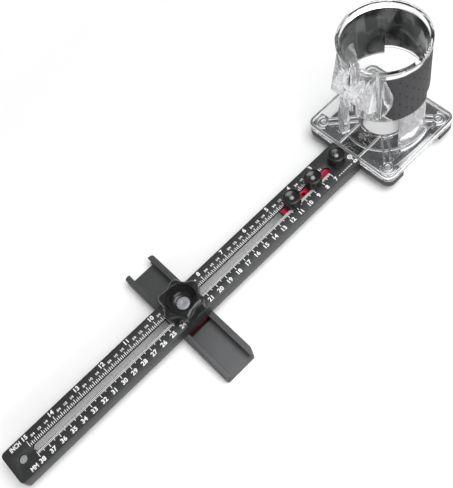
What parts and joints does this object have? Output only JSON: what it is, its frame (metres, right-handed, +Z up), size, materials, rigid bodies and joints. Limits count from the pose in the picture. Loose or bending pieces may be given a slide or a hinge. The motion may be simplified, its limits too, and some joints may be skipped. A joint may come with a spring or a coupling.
{
  "type": "router circle cutting jig",
  "caption": "Circle and edge cutting jig for a trim router: clear clamp base with rubber grip, slotted ruler beam with thumb knobs, and a star-knob fence crossbar.",
  "frame": {"origin": "on the plane of the crossbar's underside, below the middle of the jig's bounding box", "axes": "+X along the ruler from the clear base to the hanging end, +Y towards the side of the metric scale, +Z up; the cutter axis is at x = -0.1829 m, y = -0.00125 m"},
  "size_m": [0.4378, 0.1226, 0.1174],
  "materials": {
    "dark_anodised": "satin dark grey anodised",
    "red_anodised": "satin red anodised",
    "black_anodised": "satin black anodised",
    "sole_plastic": "matt dark grey",
    "clear_plastic": "clear polycarbonate, polished",
    "grip_rubber": "matt dark grey with small round dimples",
    "black_plastic": "glossy black",
    "steel": "bright zinc plated"
  },
  "bodies": {
    "jig": {"ruler": "dark_anodised", "tie_plate": "red_anodised", "tongue": "black_anodised", "sole_plate": "sole_plastic", "clear_base": "clear_plastic", "grip_sleeve": "grip_rubber", "sole_screw_1": "steel", "sole_screw_2": "steel", "sole_screw_3": "steel", "sole_screw_4": "steel", "tongue_screw_1": "steel", "tongue_screw_2": "steel"},
    "carriage": {"slide_block": "red_anodised", "star_washer": "steel"},
    "bar": {"crossbar": "dark_anodised"},
    "star": {"star_knob": "black_plastic", "clamp_stud": "steel"},
    "thumb_1": {"thumb_knob_1": "black_plastic", "thumb_stud_1": "steel"},
    "thumb_2": {"thumb_knob_2": "black_plastic", "thumb_stud_2": "steel"},
    "thumb_3": {"thumb_knob_3": "black_plastic", "thumb_stud_3": "steel"}
  },
  "joints": [
    {"name": "carriage_slide", "type": "slide", "parent": "jig", "child": "carriage", "axis": [1, 0, 0], "range_m": [-0.092, 0.146]},
    {"name": "bar_slide", "type": "slide", "parent": "carriage", "child": "bar", "axis": [0, 1, 0], "range_m": [-0.04, 0.04]},
    {"name": "star_turn", "type": "hinge", "parent": "carriage", "child": "star", "pos_m": [0.0454, -0.00125, 0.03], "axis": [0, 0, 1], "range_deg": [0, 450]},
    {"name": "thumb_1_turn", "type": "hinge", "parent": "jig", "child": "thumb_1", "pos_m": [-0.1259, -0.00125, 0.0266], "axis": [0, 0, 1], "range_deg": [0, 720]},
    {"name": "thumb_2_turn", "type": "hinge", "parent": "jig", "child": "thumb_2", "pos_m": [-0.0985, -0.00125, 0.0266], "axis": [0, 0, 1], "range_deg": [0, 720]},
    {"name": "thumb_3_turn", "type": "hinge", "parent": "jig", "child": "thumb_3", "pos_m": [-0.0743, -0.00125, 0.0266], "axis": [0, 0, 1], "range_deg": [0, 720]}
  ]
}
